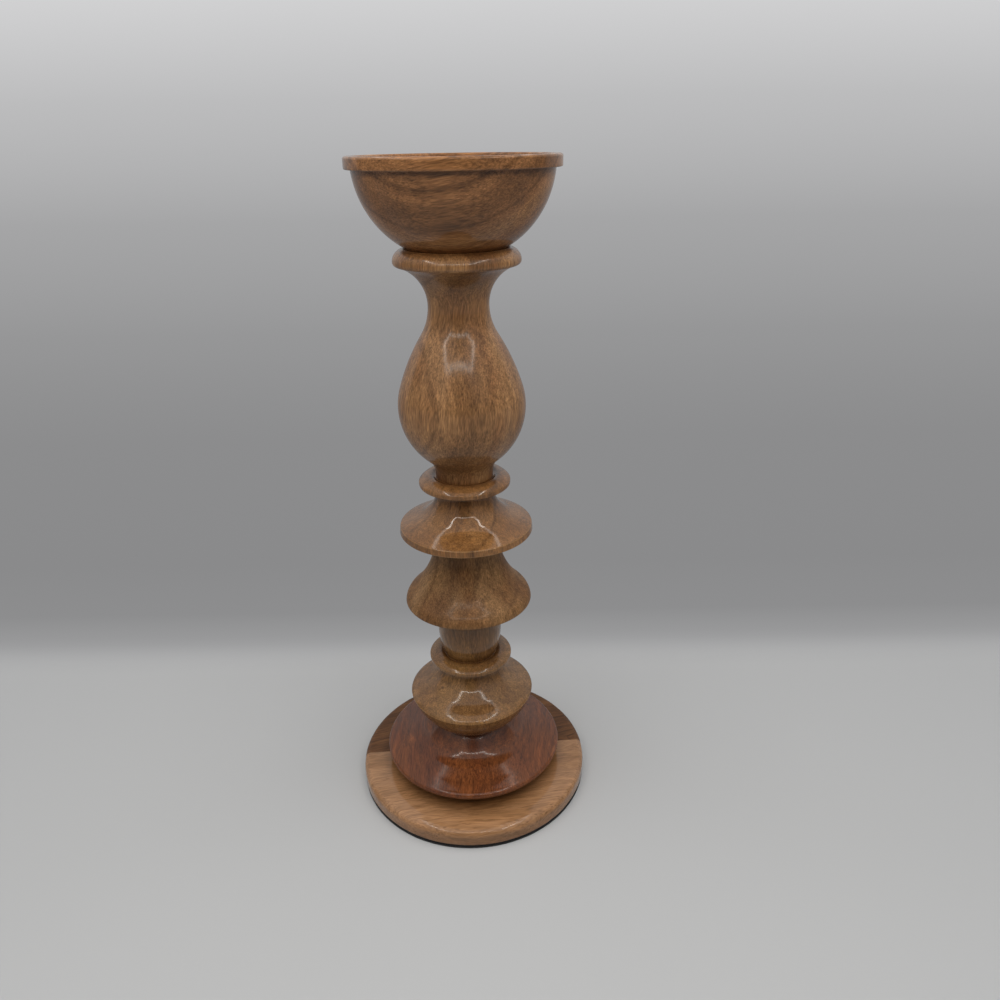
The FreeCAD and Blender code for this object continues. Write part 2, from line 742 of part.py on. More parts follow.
def foot_hardware(pad):
    """Washer, spring washer and nut in the recess under the base, from the wood downwards."""
    hole = size("rod_radius") + size("rod_bore_clearance")
    washer = turned_piece(
        "foot_washer",
        [
            (hole, zero, "line"),
            (size("washer_radius"), zero, "line"),
            (size("washer_radius"), size("washer_thickness"), "line"),
            (hole, size("washer_thickness"), "line"),
        ],
    )
    stack_on(washer, pad, size("pad_thickness") + size("recess_depth") - size("washer_thickness"))
    spring = turned_piece(
        "lock_washer",
        [
            (hole, zero, "line"),
            (size("lock_washer_radius"), zero, "line"),
            (size("lock_washer_radius"), size("lock_washer_thickness"), "line"),
            (hole, size("lock_washer_thickness"), "line"),
        ],
    )
    split = new_sketch(spring, "lock_washer_split", "XY_Plane")
    half_gap = size("lock_washer_gap").half()
    reach = size("lock_washer_radius") + size("lock_washer_gap")
    corners = [
        FreeCAD.Vector(0, -half_gap.number, 0),
        FreeCAD.Vector(reach.number, -half_gap.number, 0),
        FreeCAD.Vector(reach.number, half_gap.number, 0),
        FreeCAD.Vector(0, half_gap.number, 0),
    ]
    for index, corner in enumerate(corners):
        split.addGeometry(Part.LineSegment(corner, corners[(index + 1) % len(corners)]))
    for index in range(len(corners)):
        following = (index + 1) % len(corners)
        split.addConstraint(Sketcher.Constraint("Coincident", index, 2, following, 1))
    for index in (0, 2):
        split.addConstraint(Sketcher.Constraint("Horizontal", index))
    split.addConstraint(Sketcher.Constraint("Vertical", 1))
    split.addConstraint(Sketcher.Constraint("PointOnObject", 0, 1, -2))
    split.addConstraint(Sketcher.Constraint("PointOnObject", 2, 2, -2))
    bind(split, Sketcher.Constraint("DistanceX", 0, 1, 0, 2, reach.number), reach.text)
    bind(split, Sketcher.Constraint("DistanceY", 0, 1, -1, 1, half_gap.number), half_gap.text)
    bind(split, Sketcher.Constraint("DistanceY", -1, 1, 2, 2, half_gap.number), half_gap.text)
    gap = spring.newObject("PartDesign::Pocket", "lock_washer_gap_cut")
    gap.Profile = split
    gap.Midplane = True
    gap.setExpression("Length", "4 * Sizes.lock_washer_thickness")
    spring.Tip = gap
    stack_on(spring, washer, zero - size("lock_washer_thickness"))
    nut = doc.addObject("PartDesign::Body", "foot_nut")
    hexagon_pad(nut, "nut_hexagon", size("nut_flats"), size("nut_thickness"))
    bore = new_sketch(nut, "nut_thread", "XY_Plane")
    thread = size("rod_radius") + size("thread_clearance")
    middle = FreeCAD.Vector(0, 0, 0)
    bore.addGeometry(Part.Circle(middle, FreeCAD.Vector(0, 0, 1), thread.number))
    bore.addConstraint(Sketcher.Constraint("Coincident", 0, 3, -1, 1))
    bind(bore, Sketcher.Constraint("Radius", 0, thread.number), thread.text)
    hole_cut = nut.newObject("PartDesign::Pocket", "nut_thread_cut")
    hole_cut.Profile = bore
    hole_cut.Midplane = True
    hole_cut.setExpression("Length", "4 * Sizes.nut_thickness")
    nut.Tip = hole_cut
    stack_on(nut, spring, zero - size("nut_thickness"))
    return [washer, spring, nut]


def tie_rod(nut, spike):
    """The rod, from just below the nut to the end of its thread inside the pricket's boss."""
    body = doc.addObject("PartDesign::Body", "tie_rod")
    rod = body.newObject("PartDesign::AdditiveCylinder", "tie_rod_bar")
    rod.setExpression("Radius", "Sizes.rod_radius")
    between = f"{spike.Name}.Placement.Base.z - {nut.Name}.Placement.Base.z"
    past_ends = size("rod_tail") + size("thread_depth") - size("boss_length") - size("thread_clearance")
    rod.setExpression("Height", f"{between} + {past_ends.text} * 1 mm")
    stack_on(body, nut, zero - size("rod_tail"))
    doc.recompute()
    ends = body.newObject("PartDesign::Chamfer", "tie_rod_ends")
    ends.Base = (rod, ["Face2", "Face3"])
    ends.setExpression("Size", "Sizes.rod_end_bevel")
    body.Tip = ends
    return body


pad_piece = felt_pad()
front_board = base_board("base_front_board", pad_piece, "front")
rear_board = base_board("base_rear_board", pad_piece, "rear")
saucer_piece = base_saucer(front_board)
stem_piece = lower_stem(saucer_piece)
bell_body = bell(stem_piece)
collar_piece = skirt_collar(bell_body)
vase_body = vase(collar_piece)
bowl_piece = drip_bowl(vase_body)
plate_piece = drip_plate(bowl_piece)
doc.recompute()
spike_piece = pricket_spike(plate_piece)
hardware = foot_hardware(pad_piece)
doc.recompute()
rod_piece = tie_rod(hardware[-1], spike_piece)
doc.recompute()

pieces = [
    pad_piece, front_board, rear_board, saucer_piece, stem_piece, bell_body, collar_piece,
    vase_body, bowl_piece, plate_piece, spike_piece, rod_piece,
] + hardware

for feature in doc.Objects:
    if "Invalid" in feature.State or "Error" in feature.State:
        raise RuntimeError(f"{feature.Name} did not compute: {feature.State}")
for piece in pieces:
    if piece.Shape.isNull() or not piece.Shape.isValid() or len(piece.Shape.Solids) != 1:
        raise RuntimeError(f"{piece.Label} is not one sound solid")

os.makedirs("parts", exist_ok=True)
for piece in pieces:
    piece.Shape.exportStep(f"parts/{piece.Label}.step")
    box = piece.Shape.optimalBoundingBox()
    print(f"{piece.Label}: z {box.ZMin:.2f} to {box.ZMax:.2f}, widest {box.XLength:.2f}, "
          f"volume {piece.Shape.Volume:.0f}")
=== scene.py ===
"""Looks of a pricket candle stand: lacquered turnings stacked on a steel rod.

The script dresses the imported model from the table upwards, then sets the room, the lamps and
the camera. Lengths are in metres, except where a name or its comment says millimetres.
"""

import math

import bmesh
import bpy
from mathutils import Matrix, Vector


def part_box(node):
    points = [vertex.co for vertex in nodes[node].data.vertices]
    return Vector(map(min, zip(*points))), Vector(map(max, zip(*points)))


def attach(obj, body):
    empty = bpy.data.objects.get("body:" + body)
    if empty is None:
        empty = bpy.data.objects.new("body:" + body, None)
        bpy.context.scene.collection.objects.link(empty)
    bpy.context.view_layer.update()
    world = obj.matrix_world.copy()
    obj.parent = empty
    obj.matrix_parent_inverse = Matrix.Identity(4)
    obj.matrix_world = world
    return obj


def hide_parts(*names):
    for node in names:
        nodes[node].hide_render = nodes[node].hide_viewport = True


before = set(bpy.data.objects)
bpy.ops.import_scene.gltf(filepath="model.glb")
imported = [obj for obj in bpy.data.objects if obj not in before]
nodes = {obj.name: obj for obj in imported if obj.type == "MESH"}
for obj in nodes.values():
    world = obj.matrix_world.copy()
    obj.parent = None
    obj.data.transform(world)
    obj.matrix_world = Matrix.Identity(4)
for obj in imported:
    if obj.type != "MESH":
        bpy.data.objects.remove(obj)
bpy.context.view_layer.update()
MM = 0.001


# Felt pad
# A disc of short black wool felt, die cut and glued under the base so that it can't scratch a
# table. Seen from above it is no more than a thin dark line round the foot of the base.

def linear(hex_colour):
    """An sRGB hex value as the linear colour that the shader sockets take."""
    channels = [int(hex_colour[start:start + 2], 16) / 255 for start in (1, 3, 5)]
    return tuple(
        c / 12.92 if c <= 0.04045 else ((c + 0.055) / 1.055) ** 2.4 for c in channels
    ) + (1.0,)


def add_node(tree, kind, inputs=(), output=None, **settings):
    """Adds a shader node with its settings, and gives back the node or the output named.

    inputs holds pairs: a socket, and the value or the other node's output that it takes.
    """
    node = tree.nodes.new("ShaderNode" + kind)
    for setting, value in settings.items():
        setattr(node, setting, value)
    for socket, source in inputs:
        if isinstance(source, bpy.types.NodeSocket):
            tree.links.new(source, node.inputs[socket])
        else:
            node.inputs[socket].default_value = source
    return node.outputs[output] if output else node


def new_material(name):
    """An empty node material and its tree."""
    material = bpy.data.materials.new(name)
    material.use_nodes = True
    material.node_tree.nodes.clear()
    return material, material.node_tree


def dress(piece, material):
    """Gives a piece, or a node of the model, its one material."""
    piece.data.materials.clear()
    piece.data.materials.append(material)


def ring_of_points(mesh, radius, level, spokes):
    """A ring of vertices round the stand's axis."""
    turns = (2 * math.pi * s / spokes for s in range(spokes))
    return [mesh.verts.new((radius * math.cos(turn), radius * math.sin(turn), level))
            for turn in turns]


def skin_between(mesh, low, high):
    """A band of faces between two rings of vertices."""
    for s in range(len(low)):
        after = (s + 1) % len(low)
        mesh.faces.new((low[s], low[after], high[after], high[s]))


def shown_piece(name, mesh):
    """A bmesh made into a smooth-shaded object of the scene."""
    data = bpy.data.meshes.new(name)
    mesh.to_mesh(data)
    mesh.free()
    data.shade_smooth()
    piece = bpy.data.objects.new(name, data)
    bpy.context.scene.collection.objects.link(piece)
    return piece


FELT_SPREAD_MM = 1.5      # the felt's cut edge stands out this far beyond the solid pad
FELT_ROUNDING = 0.35      # the share of the felt's height that each rounded edge takes
FELT_RINGS, FELT_SPOKES = 14, 160
TUFT_MM = 0.625           # real tufts are about 0.2 mm: these are as coarse as they need to show
TUFT_HEIGHT_MM = 0.6
pad_low, pad_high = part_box("felt_pad")
felt_height = pad_high.z - pad_low.z
felt_radius = (pad_high.x - pad_low.x) / 2 + FELT_SPREAD_MM * MM


def felt_disc(name, radius, height):
    """A closed disc with softly rounded edges."""
    mesh = bmesh.new()
    edge = height * FELT_ROUNDING
    bite = edge * 0.3     # what the rounding takes off at its middle
    upper = [(radius * r / FELT_RINGS, height) for r in range(1, FELT_RINGS)]
    upper += [(radius - edge, height), (radius - bite, height - bite), (radius, height - edge)]
    section = upper + [(reach, height - level) for reach, level in reversed(upper)]
    rings = [ring_of_points(mesh, reach, level, FELT_SPOKES) for reach, level in section]
    for inner, outer in zip(rings, rings[1:]):
        skin_between(mesh, inner, outer)
    for ring, level in ((rings[0], height), (rings[-1], 0.0)):
        middle = mesh.verts.new((0, 0, level))
        for s in range(FELT_SPOKES):
            mesh.faces.new((middle, ring[s], ring[(s + 1) % FELT_SPOKES]))
    bmesh.ops.recalc_face_normals(mesh, faces=mesh.faces)
    return shown_piece(name, mesh)


felt_piece = felt_disc("felt_disc", felt_radius, felt_height)

# pressed wool: the fibres swallow the light, so the edge stays black, with a little fuzz
felt, tree = new_material("black wool felt")
place = add_node(tree, "TexCoord", output="Object")
fuzz = add_node(tree, "TexNoise", [
    ("Vector", place), ("Scale", 1.0 / (TUFT_MM * MM)), ("Detail", 4.0)], "Fac")
tint = add_node(tree, "Mix", [
    ("Factor", fuzz), ("A", linear("#050505")), ("B", linear("#141415"))], "Result",
    data_type="RGBA")
lift = add_node(tree, "Bump", [
    ("Height", fuzz), ("Strength", 0.8), ("Distance", TUFT_HEIGHT_MM * MM)], "Normal")
cloth = add_node(tree, "BsdfPrincipled", [
    ("Base Color", tint), ("Roughness", 0.95), ("Sheen Weight", 0.15),
    ("Sheen Roughness", 0.6), ("Normal", lift)], "BSDF")
add_node(tree, "OutputMaterial", [("Surface", cloth)])
dress(felt_piece, felt)
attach(felt_piece, "root")
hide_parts("felt_pad")


# Base boards
# Two boards of mango wood glued edge to edge and turned to one disc. The front board is pale and
# plain, the rear one darker with more figure, and both are under a thin clear lacquer.

NOISE_REACH = 0.25                    # how far a noise strays from its middle
WANDER_WIDTH_MM, PATCH_WIDTH_MM = 26.0, 15.0
SLOW_STRETCH = 0.3                    # wander and patches are drawn out along the fibres
PATCH_STRENGTH = 0.75
RING_SWAY = 1.6                       # how unevenly the rings are spaced, in rings
RING_TONES = ((0.0, 0.15), (0.45, 0.0), (0.80, 0.45), (0.93, 1.0), (1.0, 0.15))
FAINTEST_RING = 0.2
FLECKS_PER_MM, FLECK_STRETCH, FLECK_STRENGTH = 0.75, 0.12, 0.2
FLECK_SHIFT_MM = (31.0, 17.0, 5.0)    # keeps the flecks off the pores' own cells
PALE_ARRIS_GRAIN_MM = 0.9                   # the pale touches along an arris, partly worn and partly painted highlight, are about this long
PALE_ARRIS_FROM, PALE_ARRIS_AT = 0.51, 0.53       # pointiness at which an arris starts to turn paler, and at which it is palest
# painted shade in the recesses: how far it looks for what closes a spot in, and with how many
# rays
PAINTED_SHADE_REACH_MM, PAINTED_SHADE_SAMPLES = 15.0, 6
PAINTED_SHADE_TINT = (0.5, 0.40, 0.27, 1.0)   # the colour that the painted shade leaves in the deepest recesses
PORE_DEPTH_MM = 0.2


def set_stops(ramp, stops):
    """Gives a colour ramp its stops: pairs of a place from 0 to 1 and a linear colour."""
    while len(ramp.elements) < len(stops):
        ramp.elements.new(0.5)
    for element, (spot, colour) in zip(ramp.elements, stops):
        element.position = spot
        element.color = colour


def lacquered_wood(name, wood, fibres, outward, level_mm, pith_mm, seed, gloss, coat=1.0,
                   arris_wear_and_highlight=0.9, wander_mm=5.0, ring_gap_mm=7.0, ring_strength=0.4, threads=(),
                   pores=(), lines=()):
    """Clear lacquer over wood whose rings, threads and pores are solid, cut by every surface.

    wood names the colours. fibres and outward are directions in the stand's frame: along the
    fibres, and away from the pith, which lies pith_mm from the stand's axis at level_mm. The
    rings lie ring_gap_mm apart and stray from true circles by about wander_mm.
    threads lists (width_mm, length_mm, strength), and pores (width_mm, length_mm, strength,
    share of them that is closed). Real pores are 0.1 to 0.2 mm wide and the finest threads
    finer: both are drawn 0.36 mm wide or more, as coarse as they need to show.
    lines lists (place_mm along outward, half_width_mm, strength) of the single streaks that
    follow a ring: dark ones, or pale ones where the strength is below 0.
    gloss is the lacquer's roughness, coat how much of it there is, and wear how much paler the
    arrises are made, in broken touches: partly worn, partly a painted highlight. Each noise
    takes the seed and a number of its own.
    """
    material, tree = new_material(name)
    length = Vector(fibres).normalized()
    away = Vector(outward)
    away = (away - length * away.dot(length)).normalized()
    to_grain = Matrix((away, length.cross(away), length))
    middle_mm = to_grain @ Vector((0.0, 0.0, level_mm))
    place = add_node(tree, "TexCoord", output="Object")
    grain = add_node(tree, "Mapping", [
        ("Vector", place), ("Rotation", tuple(to_grain.to_euler())),
        ("Scale", (1.0 / MM,) * 3), ("Location", tuple(-middle_mm))], "Vector",
        vector_type="POINT")

    # the tree's wander: growth rings are never true circles
    slow = add_node(tree, "VectorMath", [(0, grain), (1, (1.0, 1.0, SLOW_STRETCH))],
                    "Vector", operation="MULTIPLY")
    shift = add_node(tree, "TexNoise", [
        ("Vector", slow), ("Scale", 1.0 / WANDER_WIDTH_MM), ("W", seed)], "Color",
        noise_dimensions="4D")
    shift = add_node(tree, "VectorMath", [(0, shift), (1, (0.5, 0.5, 0.5))], "Vector",
                     operation="SUBTRACT")
    shift = add_node(tree, "VectorMath", [(0, shift), ("Scale", wander_mm / NOISE_REACH)],
                     "Vector", operation="SCALE")
    bent = add_node(tree, "VectorMath", [(0, grain), (1, shift)], "Vector", operation="ADD")

    # growth rings, counted by the distance from the pith: pale early wood that darkens slowly
    # and ends at a sharp late line, each ring a little fainter or stronger than the next
    from_pith = add_node(tree, "VectorMath", [(0, bent), (1, (pith_mm, 0.0, 0.0))], "Vector",
                         operation="ADD")
    from_pith = add_node(tree, "VectorMath", [(0, from_pith), (1, (1.0, 1.0, 0.0))],
                         "Vector", operation="MULTIPLY")
    from_pith = add_node(tree, "VectorMath", [(0, from_pith)], "Value", operation="LENGTH")
    outwards = add_node(tree, "Math", [(0, from_pith), (1, pith_mm)], "Value",
                        operation="SUBTRACT")
    count = add_node(tree, "Math", [(0, from_pith), (1, 1.0 / ring_gap_mm)], "Value",
                     operation="MULTIPLY")
    sway = add_node(tree, "TexNoise", [("W", count), ("Scale", 0.9), ("Detail", 1.0)], "Fac",
                    noise_dimensions="1D")
    sway = add_node(tree, "Math", [(0, sway), (1, RING_SWAY)], "Value", operation="MULTIPLY")
    count = add_node(tree, "Math", [(0, count), (1, sway)], "Value", operation="ADD")
    within = add_node(tree, "Math", [(0, count)], "Value", operation="FRACT")
    band = add_node(tree, "ValToRGB", [("Fac", within)], "Color")
    band.node.color_ramp.interpolation = "EASE"
    set_stops(band.node.color_ramp,
              [(spot, (level, level, level, 1.0)) for spot, level in RING_TONES])
    own = add_node(tree, "Math", [(0, count)], "Value", operation="FLOOR")
    own = add_node(tree, "TexWhiteNoise", [("W", own)], "Value", noise_dimensions="1D")
    own = add_node(tree, "MapRange", [("Value", own), ("To Min", FAINTEST_RING)], "Result")
    ring = add_node(tree, "Math", [(0, band), (1, own)], "Value", operation="MULTIPLY")
    ring = add_node(tree, "Math", [(0, ring), (1, ring_strength)], "Value",
                    operation="MULTIPLY")

    # slow patches of colour, long along the fibres, and the rings over them
    patch = add_node(tree, "TexNoise", [
        ("Vector", slow), ("Scale", 1.0 / PATCH_WIDTH_MM), ("Detail", 3.0),
        ("W", seed + 3.0)], "Fac", noise_dimensions="4D")
    patch = add_node(tree, "MapRange", [
        ("Value", patch), ("From Min", 0.36), ("From Max", 0.64), ("To Max", PATCH_STRENGTH)],
        "Result", interpolation_type="SMOOTHSTEP")
    colour = add_node(tree, "Mix", [
        ("Factor", patch), ("A", linear(wood["pale"])), ("B", linear(wood["deep"]))],
        "Result", data_type="RGBA")
    colour = add_node(tree, "Mix", [
        ("Factor", ring), ("A", colour), ("B", linear(wood["ring"]))], "Result",
        data_type="RGBA")

    # single streaks that follow a ring
    for place_mm, half_width_mm, strength in lines:
        off = add_node(tree, "Math", [(0, outwards), (1, place_mm)], "Value",
                       operation="SUBTRACT")
        off = add_node(tree, "Math", [(0, off)], "Value", operation="ABSOLUTE")
        streak = add_node(tree, "MapRange", [
            ("Value", off), ("From Max", half_width_mm), ("To Min", abs(strength)),
            ("To Max", 0.0)], "Result", interpolation_type="SMOOTHSTEP")
        tone = wood["ring"] if strength > 0 else wood["fleck"]
        colour = add_node(tree, "Mix", [
            ("Factor", streak), ("A", colour), ("B", linear(tone))], "Result",
            data_type="RGBA")

    # threads: light and dark fibres, from broad ones to the finest
    for order, (width_mm, long_mm, strength) in enumerate(threads):
        drawn = add_node(tree, "VectorMath", [
            (0, bent), (1, (1.0, 1.0, width_mm / long_mm))], "Vector", operation="MULTIPLY")
        thread = add_node(tree, "TexNoise", [
            ("Vector", drawn), ("Scale", 1.0 / width_mm), ("Roughness", 0.6),
            ("W", seed + 11.0 + order)], "Fac", noise_dimensions="4D")
        thread = add_node(tree, "MapRange", [
            ("Value", thread), ("From Min", 0.32), ("From Max", 0.68),
            ("To Min", 1.0 - strength), ("To Max", 1.0 + strength)], "Result")
        colour = add_node(tree, "VectorMath", [(0, colour), ("Scale", thread)], "Vector",
                          operation="SCALE")

    # open pores: short dark dashes, one to a cell two widths across, some full and some faint
    depth = None
    for width_mm, long_mm, strength, closed in pores:
        drawn = add_node(tree, "VectorMath", [
            (0, bent), (1, (1.0, 1.0, width_mm / long_mm))], "Vector", operation="MULTIPLY")
        cell = add_node(tree, "TexVoronoi", [
            ("Vector", drawn), ("Scale", 1.0 / (2.0 * width_mm))], feature="F1")
        dash = add_node(tree, "MapRange", [
            ("Value", cell.outputs["Distance"]), ("From Min", 0.42), ("From Max", 0.16)],
            "Result", interpolation_type="SMOOTHSTEP")
        own = add_node(tree, "SeparateColor", [("Color", cell.outputs["Color"])], "Red")
        own = add_node(tree, "MapRange", [("Value", own), ("From Min", closed)], "Result")
        dash = add_node(tree, "Math", [(0, dash), (1, own)], "Value", operation="MULTIPLY")
        dark = add_node(tree, "Math", [(0, dash), (1, strength)], "Value",
                        operation="MULTIPLY")
        colour = add_node(tree, "Mix", [
            ("Factor", dark), ("A", colour), ("B", linear(wood["pore"]))], "Result",
            data_type="RGBA")
        depth = dash if depth is None else add_node(
            tree, "Math", [(0, depth), (1, dash)], "Value", operation="MAXIMUM")

    # pale flecks where the lacquer fills a pore or a ray shows
    drawn = add_node(tree, "VectorMath", [(0, bent), (1, (1.0, 1.0, FLECK_STRETCH))],
                     "Vector", operation="MULTIPLY")
    drawn = add_node(tree, "VectorMath", [(0, drawn), (1, FLECK_SHIFT_MM)], "Vector",
                     operation="ADD")
    fleck = add_node(tree, "TexVoronoi", [("Vector", drawn), ("Scale", FLECKS_PER_MM)],
                     "Distance", feature="F1")
    fleck = add_node(tree, "MapRange", [
        ("Value", fleck), ("From Min", 0.30), ("From Max", 0.08), ("To Max", FLECK_STRENGTH)],
        "Result", interpolation_type="SMOOTHSTEP")
    colour = add_node(tree, "Mix", [
        ("Factor", fleck), ("A", colour), ("B", linear(wood["fleck"]))], "Result",
        data_type="RGBA")

    # arrises made paler in broken touches: partly worn, partly a painted highlight
    worn_and_highlit_arris = add_node(tree, "NewGeometry", output="Pointiness")
    worn_and_highlit_arris = add_node(tree, "MapRange", [
        ("Value", worn_and_highlit_arris), ("From Min", PALE_ARRIS_FROM), ("From Max", PALE_ARRIS_AT), ("To Max", arris_wear_and_highlight)],
        "Result", interpolation_type="SMOOTHSTEP")
    broken = add_node(tree, "TexNoise", [
        ("Vector", grain), ("Scale", 1.0 / PALE_ARRIS_GRAIN_MM), ("W", seed + 23.0)], "Fac",
        noise_dimensions="4D")
    broken = add_node(tree, "MapRange", [
        ("Value", broken), ("From Min", 0.35), ("From Max", 0.6), ("To Min", 0.25)], "Result")
    worn_and_highlit_arris = add_node(tree, "Math", [(0, worn_and_highlit_arris), (1, broken)], "Value",
                      operation="MULTIPLY")
    colour = add_node(tree, "Mix", [
        ("Factor", worn_and_highlit_arris), ("A", colour), ("B", linear(wood["fleck"]))], "Result",
        data_type="RGBA")

    # painted shade: the colour darkens in the recesses, by how closed in each spot is
    open_air = add_node(tree, "AmbientOcclusion", [("Distance", PAINTED_SHADE_REACH_MM * MM)], "AO",
                        samples=PAINTED_SHADE_SAMPLES)
    open_air = add_node(tree, "MapRange", [
        ("Value", open_air), ("From Min", 0.15), ("From Max", 0.85)], "Result")
    painted_shade = add_node(tree, "Mix", [
        ("Factor", open_air), ("A", PAINTED_SHADE_TINT), ("B", (1.0, 1.0, 1.0, 1.0))], "Result",
        data_type="RGBA")
    colour = add_node(tree, "VectorMath", [(0, colour), (1, painted_shade)], "Vector",
                      operation="MULTIPLY")

    # matt wood, in which the pores are a little sunk, under a clear coat that mirrors the room
    sunk = add_node(tree, "Bump", [
        ("Height", depth), ("Strength", 0.2), ("Distance", PORE_DEPTH_MM * MM)], "Normal",
        invert=True)
    surface = add_node(tree, "BsdfPrincipled", [
        ("Base Color", colour), ("Roughness", 0.6), ("Specular IOR Level", 0.1),
        ("Coat Weight", coat), ("Coat Roughness", gloss), ("Coat IOR", 1.45),
        ("Normal", sunk)], "BSDF")
    add_node(tree, "OutputMaterial", [("Surface", surface)])
    return material


# pale sapwood: broad soft rings and fine dark dashes under an even shine
front_wood = lacquered_wood(
    "clear lacquer over pale mango wood",
    {"pale": "#a87d58", "deep": "#986d46", "ring": "#7d5734", "pore": "#5c3c23",
     "fleck": "#c2976d"},
    fibres=(1.0, 0.12, 0.0), outward=(0.0, -0.3, 1.0), level_mm=6.0, pith_mm=90.0, seed=1.0,
    gloss=0.10, arris_wear_and_highlight=0.0, ring_gap_mm=8.0,
    threads=((2.6, 50.0, 0.15), (0.8, 16.0, 0.22)),
    pores=((0.45, 7.0, 0.48, 0.2), (0.36, 4.0, 0.45, 0.25)))
dress(nodes["base_front_board"], front_wood)

# heartwood from near the pith: close dark rings in arcs, and a duller shine than in front
rear_wood = lacquered_wood(
    "thin lacquer over figured mango wood",
    {"pale": "#6f4a2c", "deep": "#573720", "ring": "#362012", "pore": "#28170c",
     "fleck": "#805a38"},
    fibres=(1.0, 0.25, 0.0), outward=(0.0, 0.4, 1.0), level_mm=6.0, pith_mm=30.0, seed=2.0,
    gloss=0.16, coat=0.35, arris_wear_and_highlight=0.0, ring_gap_mm=3.6, ring_strength=0.95,
    threads=((2.6, 50.0, 0.2), (0.8, 16.0, 0.3)),
    pores=((0.45, 7.0, 0.48, 0.2), (0.36, 4.0, 0.45, 0.25)))
dress(nodes["base_rear_board"], rear_wood)


# Base saucer
# A wide turning of redder mango wood with a hollow round its cone, glued on the two boards. Its
# grain runs from front to back, and it is polished to a high gloss that shows the stem.

SEAM_TOLERANCE = 2e-6
SWELL_OUT, SWELL_UP = 0.35, 0.94      # the way in which a swell moves the surface
ARRIS_MM = 0.4                        # how far a rounded arris reaches along each side
ARRIS_SHARE = 0.4                     # and the most that it takes of a short side
CORNER = math.radians(25.0)           # a sharper bend than this is a corner
STRAIGHT_RATIO = 2.5                  # a side that outdoes its neighbour by this stays straight
STEP_MM = 0.6
HIDDEN_RADIUS_MM = 11.0               # the bore and the spigots lie within this
TURNED_SPOKES = 180


def turned_section(name):
    """The closed (radius, level) outline in mm that a node was turned from, read at its seam."""
    mesh, matrix = nodes[name].data, nodes[name].matrix_world
    spots = [matrix @ corner.co for corner in mesh.vertices]
    at_seam = [abs(spot.y) < SEAM_TOLERANCE and spot.x > 0 for spot in spots]
    beside = {}
    for edge in mesh.edges:
        if all(at_seam[v] for v in edge.vertices):
            near, far = ((round(spots[v].x / MM, 2), round(spots[v].z / MM, 2))
                         for v in edge.vertices)
            if near != far:
                beside.setdefault(near, []).append(far)
                beside.setdefault(far, []).append(near)
    outline = [min(beside)]
    before = None
    while len(outline) == 1 or outline[-1] != outline[0]:
        here = outline[-1]
        before, step = here, next(p for p in beside[here] if p != before)
        outline.append(step)
    return [Vector(spot) for spot in outline[:-1]]


def swelled(outline, swells):
    """The outline with soft rises, each (radius, level, reach, rise) in mm; below 0 it sinks."""
    moved = []
    for spot in outline:
        lift = 0.0
        for radius, level, reach, rise in swells:
            near = max(0.0, 1.0 - (spot - Vector((radius, level))).length / reach)
            lift += rise * near * near * (3.0 - 2.0 * near)
        moved.append(spot + Vector((SWELL_OUT * lift, SWELL_UP * lift)))
    return moved


def smooth_outline(outline):
    """Bends the outline smoothly through its spots and rounds the arrises at its corners."""
    count = len(outline)
    sides = [outline[(i + 1) % count] - outline[i] for i in range(count)]
    sharp = [abs(sides[i - 1].angle_signed(sides[i])) > CORNER for i in range(count)]

    def tangent(i, side):
        """Direction at spot i for the side that starts (0) or ends (-1) there."""
        last, this = sides[i - 1], sides[i]
        if sharp[i]:
            own, next_spot = (this, (i + 1) % count) if side == 0 else (last, (i - 1) % count)
            if sharp[next_spot]:
                return own.normalized()
            return (2 * own.normalized() - tangent(next_spot, -1 - side)).normalized()
        if last.length > STRAIGHT_RATIO * this.length:
            return last.normalized()
        if this.length > STRAIGHT_RATIO * last.length:
            return this.normalized()
        return (last.normalized() * this.length + this.normalized() * last.length).normalized()

    spots = []
    for i in range(count):
        start, end, reach = outline[i], outline[(i + 1) % count], sides[i].length
        leave, arrive = tangent(i, 0), tangent((i + 1) % count, -1)
        hidden = max(start.x, end.x) < HIDDEN_RADIUS_MM
        steps = 1 if hidden else max(1, math.ceil(reach / STEP_MM))
        cut = min(ARRIS_MM, reach * ARRIS_SHARE) / reach
        cut_start = cut if sharp[i] and not hidden else 0.0
        cut_end = cut if sharp[(i + 1) % count] and not hidden else 0.0
        for s in range(steps + 1):
            t = cut_start + (1.0 - cut_start - cut_end) * s / steps
            if s == steps and not cut_end:
                break
            spots.append((2*t**3 - 3*t*t + 1) * start + (t**3 - 2*t*t + t) * reach * leave
                         + (3*t*t - 2*t**3) * end + (t**3 - t*t) * reach * arrive)
        if cut_end:
            after = sides[(i + 1) % count]
            onward = end + after.normalized() * min(ARRIS_MM, after.length * ARRIS_SHARE)
            back = spots[-1]
            spots += [back * (1 - t)**2 + end * 2 * t * (1 - t) + onward * t * t
                      for t in (0.25, 0.5, 0.75)]
    return spots


def turn_piece(name, material, swells=()):
    """Turns a node's outline anew as one smooth mesh that takes the node's place."""
    mesh = bmesh.new()
    rings = [ring_of_points(mesh, spot.x * MM, spot.y * MM, TURNED_SPOKES)
             for spot in smooth_outline(swelled(turned_section(name), swells))]
    for low, high in zip(rings, rings[1:] + rings[:1]):
        skin_between(mesh, low, high)
    bmesh.ops.recalc_face_normals(mesh, faces=mesh.faces)
    piece = shown_piece("turned_" + name, mesh)
    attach(piece, "root")
    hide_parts(name)
    dress(piece, material)


